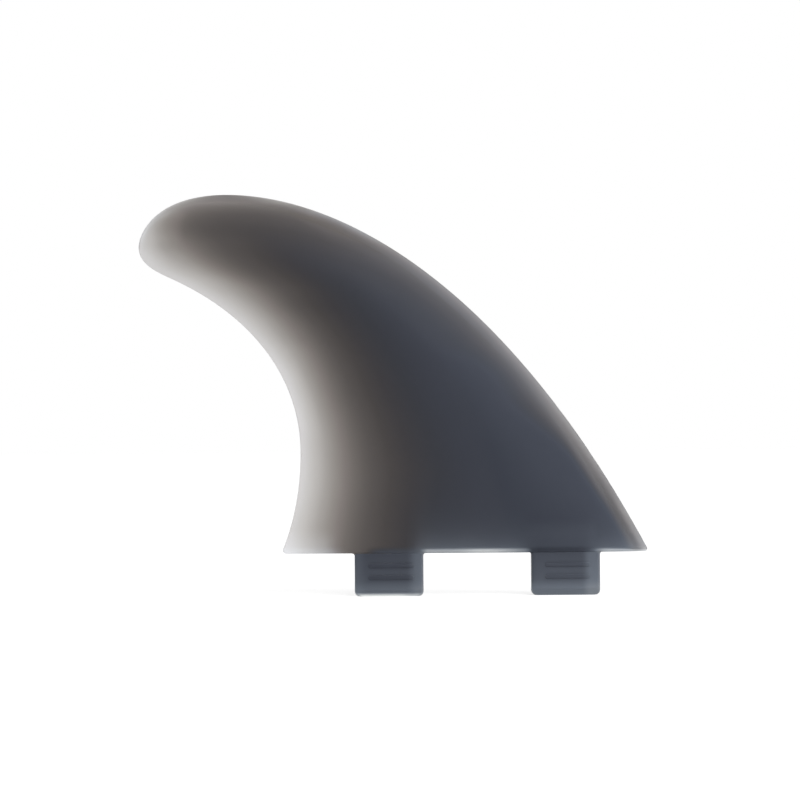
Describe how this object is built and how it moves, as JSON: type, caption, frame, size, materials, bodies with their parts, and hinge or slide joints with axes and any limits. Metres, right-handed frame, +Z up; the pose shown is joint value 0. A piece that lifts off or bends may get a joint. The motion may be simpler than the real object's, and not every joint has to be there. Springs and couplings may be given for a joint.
{
  "type": "surfboard fin",
  "caption": "Swept, foiled surfboard fin with a rounded tip, moulded in one piece with rectangular base tabs that drop into sockets in the board.",
  "frame": {"origin": "midway between the two base tabs, on the plane where the base meets the board, in the middle of the thickness", "axes": "+X towards the nose of the board, +Z up the blade to its crest, +Y to the left-hand face looking forward"},
  "size_m": [0.1625, 0.008, 0.1287],
  "materials": {
    "smoke_plastic": "moulded smoke-tinted see-through plastic, satin sheen, nearly clear where it is thin"
  },
  "bodies": {
    "root": {"fin": "smoke_plastic"}
  },
  "joints": []
}
